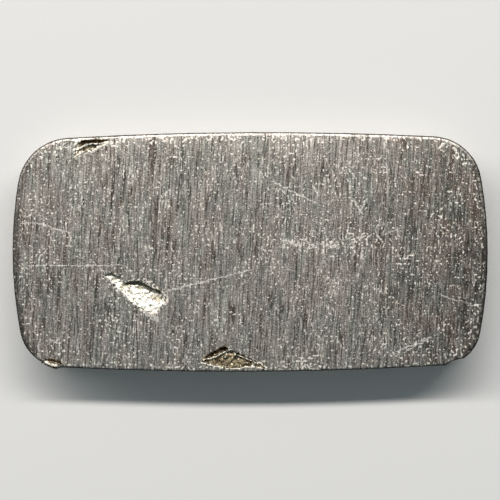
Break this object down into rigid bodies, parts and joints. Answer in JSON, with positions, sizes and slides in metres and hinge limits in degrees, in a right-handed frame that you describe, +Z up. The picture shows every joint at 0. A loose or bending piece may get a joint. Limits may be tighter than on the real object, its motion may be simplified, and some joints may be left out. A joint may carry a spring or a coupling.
{
  "type": "metal ingot",
  "caption": "Small cast metal bar with rounded corners and drafted walls, ground flat on its pour face, with casting voids left open.",
  "frame": {"origin": "middle of the base, at the height of the floor it lies on", "axes": "+X along the bar's length, +Y across it, +Z up through the ground pour face"},
  "size_m": [0.086, 0.0434, 0.0086],
  "materials": {
    "silver": "belt ground on the pour face, as cast on the walls and base"
  },
  "bodies": {
    "root": {"ingot": "silver"}
  },
  "joints": []
}
